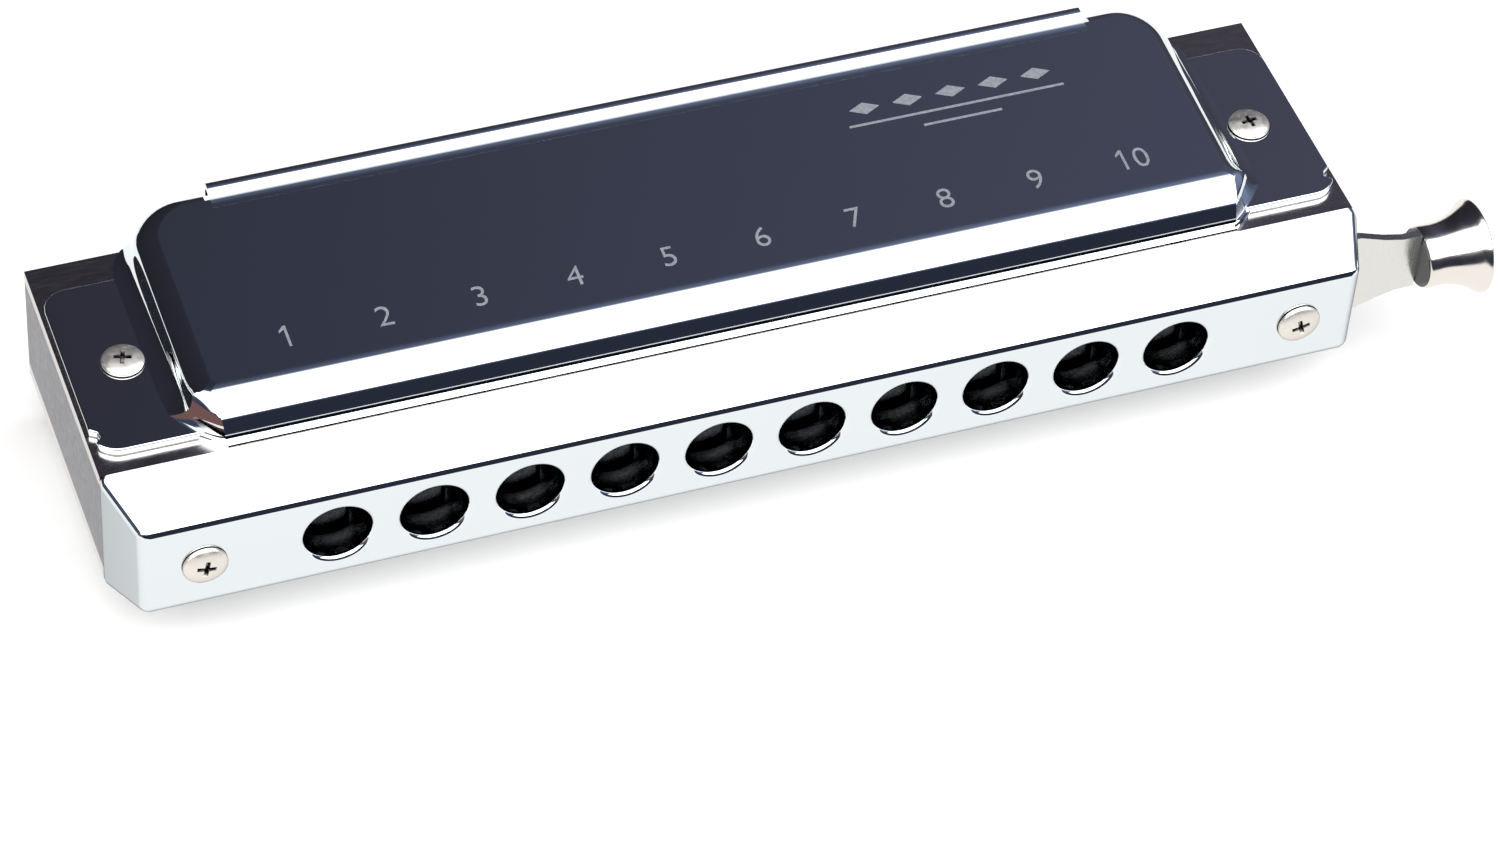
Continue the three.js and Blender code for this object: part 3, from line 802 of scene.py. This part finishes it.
def make_ornament():
    """A plain double rule with lozenges, in place of any lettering."""
    parts = [rule(RULE_LEFT, RULE_RIGHT, RULE_Y - RULE_HALF, RULE_Y + RULE_HALF)]
    middle = (RULE_LEFT + RULE_RIGHT) / 2
    y = RULE_Y + LOZENGE_LIFT
    for step in (-2, -1, 0, 1, 2):
        x = middle + step * LOZENGE_PITCH
        outline = [
            (x - LOZENGE_WIDE, y),
            (x, y - LOZENGE_TALL),
            (x + LOZENGE_WIDE, y),
            (x, y + LOZENGE_TALL),
        ]
        parts.append(prism(outline, 2, -MARK_HALF, MARK_HALF))
    left = RULE_LEFT + SHORT_RULE_INSET
    right = RULE_RIGHT - SHORT_RULE_INSET
    parts.append(rule(left, right, RULE_Y + SHORT_RULE[0], RULE_Y + SHORT_RULE[1]))
    ornament = build("cover_ornament", on_cover(merged(parts)))
    finish(ornament, "chrome", etched_material())


# ---- Mouthpiece ----

MOUTH_FRONT_HALF = 5.35
MOUTH_EDGE = 0.9
MOUTH_TAPER = 2.05
TAPER_END = 0.6
OVERRUN = 2
HOLE_LIP = 0.55
HOLE_WALL = 1.6
CHAMBER_RADIUS = 3.9
CHAMBER_DEPTH = 4.5
POCKET_HALF = 60.4
POCKET_FRONT = -16.8
POCKET_HEIGHT = 6.2
MOUTH_SCREW_X = 54
STEM_FRONT = -16.25
STEM_BACK = -15.15
STEM_HEIGHT = 5.05
FAR = 80


def mouth_section():
    """The casting's outline from the side, run on behind its back so that it can be cut square."""
    front, back = mouth_low.y, mouth_high.y
    high = mouth_high.z
    slope = (high - MOUTH_FRONT_HALF) / (back - front)
    far = back + OVERRUN
    far_high = high + slope * OVERRUN
    return [
        (front, -MOUTH_FRONT_HALF),
        (front, MOUTH_FRONT_HALF),
        (far, far_high),
        (far, -far_high),
    ]


def mouth_plan():
    """The casting's outline from above, narrower towards the lips."""
    front, back = mouth_low.y, mouth_high.y
    half = mouth_high.x
    right = [(half - MOUTH_TAPER, front), (half, back - TAPER_END), (half, back + 2 * OVERRUN)]
    left = [(-x, y) for x, y in reversed(right)]
    return right + left


def hole_cutter(x):
    """The hole widens in a round lip at the front and again behind its wall."""
    profile = [(0, CHAMBER_DEPTH), (CHAMBER_RADIUS, CHAMBER_DEPTH)]
    profile += [(CHAMBER_RADIUS, HOLE_WALL + 0.15), (HOLE_RADIUS, HOLE_WALL)]
    profile += arc((HOLE_RADIUS + HOLE_LIP, HOLE_LIP), HOLE_LIP, 180, 270, 9)
    profile += [(HOLE_RADIUS + HOLE_LIP, -1), (0, -1)]
    return turned(profile, 64, (x, mouth_low.y, 0), (0, 1, 0))


def mouth_slots():
    """The two screws' bores through the front and the stem's slot in the right end."""
    slots = []
    for x in (-MOUTH_SCREW_X, MOUTH_SCREW_X):
        profile = [(0, -1), (SCREW_BORE, -1), (SCREW_BORE, 6), (0, 6)]
        slots.append(turned(profile, 24, (x, mouth_low.y, 0), (0, 1, 0)))
    slots.append(block((59, STEM_FRONT, -STEM_HEIGHT), (63, STEM_BACK, STEM_HEIGHT)))
    return merged(slots)


def make_mouthpiece():
    back = mouth_high.y
    body = build("mouthpiece_casting", prism(mouth_section(), 0, -70, 70))
    combine(body, build("plan", prism(mouth_plan(), 2, -12, 12)), "INTERSECT")
    bevel(body, MOUTH_EDGE, 6, 24)
    behind = block((-FAR, back, -20), (FAR, back + 10, 20))
    combine(body, build("behind", behind), "DIFFERENCE")
    pocket = block(
        (-POCKET_HALF, POCKET_FRONT, -POCKET_HEIGHT), (POCKET_HALF, back + 1, POCKET_HEIGHT)
    )
    combine(body, build("pocket", pocket), "DIFFERENCE")
    combine(body, build("holes", merged([hole_cutter(x) for x in hole_xs])), "DIFFERENCE")
    combine(body, build("slots", mouth_slots()), "DIFFERENCE")
    smooth(body, 38)
    # The casting's holes and pocket are darkened by painted shade.
    finish(body, "chrome", finishes["mouth_chrome_painted_shade"], replaces=["mouthpiece"])


# ---- Screws ----

HEAD_SHARE = 0.36
RIM_SHARE = 0.3
DOME_STEPS = 8
COVER_SCREW = (2, 6)
MOUTH_SCREW = (2.15, 10)


def screw_profile(radius, shank):
    """A screw from its point over its rim to the middle of its domed head."""
    height = radius * HEAD_SHARE
    rim_height = height * RIM_SHARE
    profile = [(0, -shank), (0.6, -shank), (1, -shank + 0.8), (1, 0)]
    profile += [(radius - 0.1, 0), (radius, 0.1), (radius, rim_height)]
    for i in range(1, DOME_STEPS):
        turn = i / DOME_STEPS * math.pi / 2
        up = rim_height + (height - rim_height) * math.sin(turn)
        profile.append((radius * math.cos(turn), up))
    return profile + [(0, height)]


def cross_cutter(radius):
    """A cross recess that narrows towards its bottom."""
    height = radius * HEAD_SHARE
    long, wide, depth = radius * 0.6, radius * 0.15, height * 0.2
    narrowing = 0.55
    parts = []
    for first, second in ((long, wide), (wide, long)):
        bm = block((-first, -second, depth), (first, second, height + 1))
        for v in bm.verts:
            if v.co.z < depth + 0.01:
                v.co.x *= narrowing
                v.co.y *= narrowing
        parts.append(bm)
    return parts


def make_screw(node, size, place, axis):
    """A screw at its place, its cross turned by an angle that its name settles."""
    radius, shank = size
    head = build(node + "_head", turned(screw_profile(radius, shank), 48, (0, 0, 0), (0, 0, 1)))
    for part in cross_cutter(radius):
        combine(head, build("recess", part), "DIFFERENCE")
    home = Matrix.Translation(HOME * MM)
    turn = Vector((0, 0, 1)).rotation_difference(Vector(axis)).to_matrix().to_4x4()
    angle = sum(ord(c) for c in node) * 37 % 90
    spin = Matrix.Rotation(math.radians(angle), 4, "Z")
    at = Matrix.Translation(Vector(place) * MM)
    head.data.transform(home @ at @ turn @ spin @ home.inverted())
    smooth(head, 32)
    finish(head, "screw_nickel", replaces=[node])


def make_screws():
    sides = (("left", -1), ("right", 1))
    for level, up in (("upper", 1), ("lower", -1)):
        height = up * (PLATE_TOP + FLANGE_THICKNESS)
        for side, way in sides:
            place = (way * COVER_SCREW_X, COVER_SCREW_Y, height)
            make_screw(f"cover_screw_{level}_{side}", COVER_SCREW, place, (0, 0, up))
    for side, way in sides:
        place = (way * MOUTH_SCREW_X, mouth_low.y, 0)
        make_screw(f"mouthpiece_screw_{side}", MOUTH_SCREW, place, (0, -1, 0))


# ---- Button and spring ----

NECK_RADIUS = 3.1
FLARE_START = 1.4
FLARE_STEPS = 16
FLARE_POWER = 2.4
RIM_ROUND = 0.28


def button_profile(length, rim):
    """The spool from its face towards the body, over its neck and flared rim to its dished end."""
    neck = NECK_RADIUS
    profile = [(0, 0), (neck - 0.5, 0), (neck - 0.22, 0.03), (neck - 0.07, 0.12), (neck, 0.3)]
    reach = rim - 0.15 - neck
    run = length - 0.7 - FLARE_START
    for i in range(FLARE_STEPS + 1):
        share = i / FLARE_STEPS
        profile.append((neck + reach * share**FLARE_POWER, FLARE_START + run * share))
    profile += arc((rim - RIM_ROUND, length - 0.36), RIM_ROUND, 0, 90, 6)
    profile += [(rim - 0.7, length - 0.12), (rim * 0.6, length - 0.42)]
    return profile + [(rim * 0.3, length - 0.55), (0, length - 0.6)]


def make_button():
    """The spool-shaped button, with a dark disc on its face towards the body as painted shade."""
    low, high = local_box("slide_button")
    place = (low.x, (low.y + high.y) / 2, 0)
    radius = NECK_RADIUS - 0.2
    # A thin dark disc laid on the face, painted shade.
    disc = [(0, 0.03), (radius, 0.03), (radius, -0.05), (0, -0.05)]
    collar = build("button_collar", turned(disc, 72, place, (1, 0, 0)))
    finish(collar, "button_nickel", finishes["collar"], body="slide_assembly")
    profile = button_profile(high.x - low.x, high.z)
    button = build("button_spool", turned(profile, 72, place, (1, 0, 0)))
    smooth(button, 40)
    finish(button, "button_nickel", body="slide_assembly", replaces=["slide_button"])


SPRING_START = (-60, -0.6)
SPRING_POST = (-58, 3.4)
SPRING_BEND = 1.3
SPRING_TINE = (-55.22, -4.4)
WIRE_RADIUS = 0.3
LEG_STEPS = 24


def spring_path():
    """The wire as points of (x, z): its fixed leg and its bend round the post."""
    x, z = SPRING_POST
    bend = arc(SPRING_POST, SPRING_BEND, 180, 0, 10)
    return [SPRING_START, (x - SPRING_BEND, z)] + bend[1:]


def make_spring():
    """A hairpin wire: its bend round the post and its free leg running to the slide's tine."""
    points = spring_path()
    last = points[-1]
    for i in range(1, LEG_STEPS + 1):
        share = i / LEG_STEPS
        points.append(tuple(a + (b - a) * share for a, b in zip(last, SPRING_TINE)))
    y = sum(v.y for v in local_box("slide")) / 2
    places = [(Vector((x, y, z)) + HOME) * MM for x, z in points]
    curve = bpy.data.curves.new("spring", "CURVE")
    curve.dimensions = "3D"
    curve.bevel_depth = WIRE_RADIUS * MM
    curve.bevel_resolution = 4
    curve.use_fill_caps = True
    spline = curve.splines.new("POLY")
    spline.points.add(len(places) - 1)
    for point, at in zip(spline.points, places):
        point.co = (*at, 1)
    holder = link("holder", curve)
    wire = link("slide_spring_wire", evaluated(holder))
    bpy.data.objects.remove(holder)
    smooth(wire, 60, False)
    finish(wire, "spring_wire", body=None, replaces=["slide_spring"])
    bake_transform(wire)


# ---- Reeds ----

RIVET_PROFILE = [(0, -0.1), (0.75, -0.1), (0.75, 0.12), (0.6, 0.26), (0.35, 0.34), (0, 0.36)]
RIVET_INSET = 1.5
DRAW_REED_THICKNESS = 0.45


def make_rivets():
    """A round rivet head at each reed's thick end, on the outer face of its plate or reed."""
    for level, up in (("upper", 1), ("lower", -1)):
        heads = []
        for kind in ("blow", "draw"):
            base = PLATE_TOP + (DRAW_REED_THICKNESS if kind == "draw" else 0)
            for i in range(HOLES):
                low, high = local_box(f"reed_{level}_{kind}_{i + 1:02d}")
                y = high.y - RIVET_INSET if kind == "blow" else low.y + RIVET_INSET
                place = ((low.x + high.x) / 2, y, up * base)
                heads.append(turned(RIVET_PROFILE, 20, place, (0, 0, up)))
        rivets = build(f"reed_rivets_{level}", merged(heads))
        smooth(rivets, 50, False)
        finish(rivets, "reed_bronze")


# ---- Studio ----

FLOOR_GLOW = 1.08
SOFTBOX_STRENGTH = 3.2
SOFTBOX_SIDES = (0.86, 0.80)
ROOM_SIDES = (0.1, 0.42)
ROOM_STRENGTHS = (0.85, 2.4)

# Angles over the instrument in degrees, from 0 at the front horizon to 180 at the back one.
ROOM_STOPS = [
    (-90, (0.010, 0.010, 0.018)),
    (-12, (0.006, 0.007, 0.018)),
    (4, (0.012, 0.014, 0.034)),
    (24, (0.045, 0.052, 0.095)),
    (104, (0.095, 0.11, 0.16)),
    (118, (0.034, 0.038, 0.060)),
    (134, (0.030, 0.029, 0.043)),
    (180, (0.022, 0.021, 0.028)),
]
BLACK = (0, 0, 0)
WHITE = (1, 1, 1)
SOFTBOX_STOPS = [(-90, BLACK), (27, BLACK), (29, WHITE), (97, WHITE), (105, BLACK)]


def sheet(name, corners):
    """A flat piece with four corners, in metres in the frame."""
    mesh = bpy.data.meshes.new(name)
    mesh.from_pydata(corners, [], [(0, 1, 2, 3)])
    return link(name, mesh)


def glowing(tree, colour, strength):
    glow = tree.nodes.new("ShaderNodeEmission")
    glow.inputs["Color"].default_value = (*colour, 1)
    glow.inputs["Strength"].default_value = strength
    return glow.outputs[0]


def blended(tree, factor, first, second):
    """A mix of two shaders."""
    mix = tree.nodes.new("ShaderNodeMixShader")
    tree.links.new(factor, mix.inputs["Fac"])
    tree.links.new(first, mix.inputs[1])
    tree.links.new(second, mix.inputs[2])
    return mix.outputs[0]


def make_floor():
    """White paper, which is evenly bright wherever the instrument mirrors it."""
    reach_x, front, back = 0.42, -0.13, 0.45
    corners = [(-reach_x, front, 0), (reach_x, front, 0), (reach_x, back, 0), (-reach_x, back, 0)]
    floor = sheet("floor", corners)
    made, tree, shader, coords = material("floor_paper")
    grain = noise(tree, coords, 400)
    colour = tint(tree, grain, (0.90, 0.89, 0.875), (0.91, 0.90, 0.885))
    tree.links.new(colour, shader.inputs["Base Color"])
    shader.inputs["Roughness"].default_value = 0.9
    shader.inputs["Specular IOR Level"].default_value = 0.1
    paths = tree.nodes.new("ShaderNodeLightPath")
    glow = glowing(tree, (0.99, 0.98, 0.965), FLOOR_GLOW)
    mirrored = blended(tree, paths.outputs["Is Glossy Ray"], shader.outputs[0], glow)
    tree.links.new(mirrored, tree.nodes["Material Output"].inputs["Surface"])
    floor.data.materials.append(made)


def make_mirror_card(name, look, corners, colour, strength):
    """An upright card that is seen in the instrument's mirrors only and casts no shadow."""
    card = sheet(name, corners)
    made, tree, shader, coords = material(look)
    glow = glowing(tree, colour, strength)
    tree.links.new(glow, tree.nodes["Material Output"].inputs["Surface"])
    card.data.materials.append(made)
    card.visible_camera = False
    card.visible_diffuse = False
    card.visible_shadow = False


def make_flag():
    """A dark flag before the instrument, which darkens its steep front faces."""
    left, right, front, high = -0.06, 0.16, -0.102, 0.056
    corners = [(left, front, 0), (right, front, 0), (right, front, high), (left, front, high)]
    make_mirror_card("flag", "flag_cloth", corners, (0.5, 0.6, 1), 0.045)


def make_card():
    """A small brown card low on the left, for the left cover corner's facet."""
    x, near, far, high = -0.17, -0.14, -0.045, 0.05
    corners = [(x, near, 0), (x, far, 0), (x, far, high), (x, near, high)]
    make_mirror_card("card", "card_board", corners, (1, 0.5, 0.45), 0.2)


def world_ramp(tree, value, stops):
    """Colours by angle. A ramp's 0 to 1 covers -90 to 270 degrees."""
    ramp = tree.nodes.new("ShaderNodeValToRGB")
    elements = ramp.color_ramp.elements
    while len(elements) < len(stops):
        elements.new(0.5)
    for element, (angle, colour) in zip(elements, stops):
        element.position = (angle + 90) / 360
        element.color = (*colour, 1)
    tree.links.new(value, ramp.inputs["Fac"])
    return ramp.outputs["Color"]


def math_node(tree, operation, *inputs):
    node = tree.nodes.new("ShaderNodeMath")
    node.operation = operation
    for i, value in enumerate(inputs):
        if isinstance(value, (int, float)):
            node.inputs[i].default_value = value
        else:
            tree.links.new(value, node.inputs[i])
    return node.outputs[0]


def background(tree, colour=(1, 1, 1), strength=1):
    """A world background node, whose colour and strength a link may replace."""
    node = tree.nodes.new("ShaderNodeBackground")
    node.inputs["Color"].default_value = (*colour, 1)
    node.inputs["Strength"].default_value = strength
    return node


def angle_share(tree, y, z):
    """The angle over the instrument as a world_ramp takes it."""
    radians = math_node(tree, "ARCTAN2", z, math_node(tree, "MULTIPLY", y, -1))
    turns = math_node(tree, "DIVIDE", radians, 2 * math.pi)
    return math_node(tree, "FRACT", math_node(tree, "ADD", turns, 0.25))


def make_softbox(tree, x, share):
    """One wide white light from the front to just past overhead, soft at its left and right."""
    lit = world_ramp(tree, share, SOFTBOX_STOPS)
    side = math_node(tree, "ABSOLUTE", x)
    width = spread(tree, side, 0, 1, SOFTBOX_SIDES, soft=True)
    light = math_node(tree, "MULTIPLY", lit, width)
    softbox = background(tree, (1, 0.995, 0.98))
    strength = math_node(tree, "MULTIPLY", light, SOFTBOX_STRENGTH)
    tree.links.new(strength, softbox.inputs["Strength"])
    return softbox.outputs[0]


def make_room(tree, x, share):
    """The dim blue room round the light, lighter towards the button's end."""
    room = background(tree)
    tree.links.new(world_ramp(tree, share, ROOM_STOPS), room.inputs["Color"])
    strength = spread(tree, x, *ROOM_STRENGTHS, ROOM_SIDES)
    tree.links.new(strength, room.inputs["Strength"])
    return room.outputs[0]


def make_world():
    """A dark studio with one softbox, which the camera itself sees as plain white."""
    world = bpy.data.worlds.new("studio")
    bpy.context.scene.world = world
    world.use_nodes = True
    tree = world.node_tree
    tree.nodes.clear()
    direction = tree.nodes.new("ShaderNodeTexCoord").outputs["Generated"]
    split = tree.nodes.new("ShaderNodeSeparateXYZ")
    tree.links.new(direction, split.inputs[0])
    x, y, z = split.outputs
    share = angle_share(tree, y, z)
    both = tree.nodes.new("ShaderNodeAddShader")
    tree.links.new(make_softbox(tree, x, share), both.inputs[0])
    tree.links.new(make_room(tree, x, share), both.inputs[1])
    paths = tree.nodes.new("ShaderNodeLightPath")
    backdrop = background(tree).outputs[0]
    seen = blended(tree, paths.outputs["Is Camera Ray"], both.outputs[0], backdrop)
    output = tree.nodes.new("ShaderNodeOutputWorld")
    tree.links.new(seen, output.inputs["Surface"])


CAMERA_AZIMUTH = math.radians(-22.78)
CAMERA_ELEVATION = math.radians(46.43)
CAMERA_ROLL = math.radians(4.51)
CAMERA_DISTANCE = 508.7
CAMERA_AIM = Vector((-0.94, -18.41, 0))
CAMERA_LENS = 131.03


def make_camera():
    aim = (CAMERA_AIM + HOME) * MM
    level = math.cos(CAMERA_ELEVATION)
    back = Vector(
        (
            math.sin(CAMERA_AZIMUTH) * level,
            -math.cos(CAMERA_AZIMUTH) * level,
            math.sin(CAMERA_ELEVATION),
        )
    )
    right = Vector((math.cos(CAMERA_AZIMUTH), math.sin(CAMERA_AZIMUTH), 0))
    up = back.cross(right)
    turn = Matrix.Rotation(CAMERA_ROLL, 3, back)
    data = bpy.data.cameras.new("camera")
    data.lens = CAMERA_LENS
    data.sensor_width = 36
    data.clip_start = 0.01
    camera = link("camera", data)
    axes = Matrix((turn @ right, turn @ up, back)).transposed().to_4x4()
    camera.matrix_world = Matrix.Translation(aim + back * CAMERA_DISTANCE * MM) @ axes
    bpy.context.scene.camera = camera


make_camera()
make_world()
make_floor()
make_flag()
make_card()
dress_cad_nodes()
make_cover("upper", 1)
make_cover("lower", -1)
make_numbers()
make_ornament()
make_mouthpiece()
make_screws()
make_button()
make_spring()
make_rivets()
bpy.context.scene.view_settings.view_transform = "Standard"
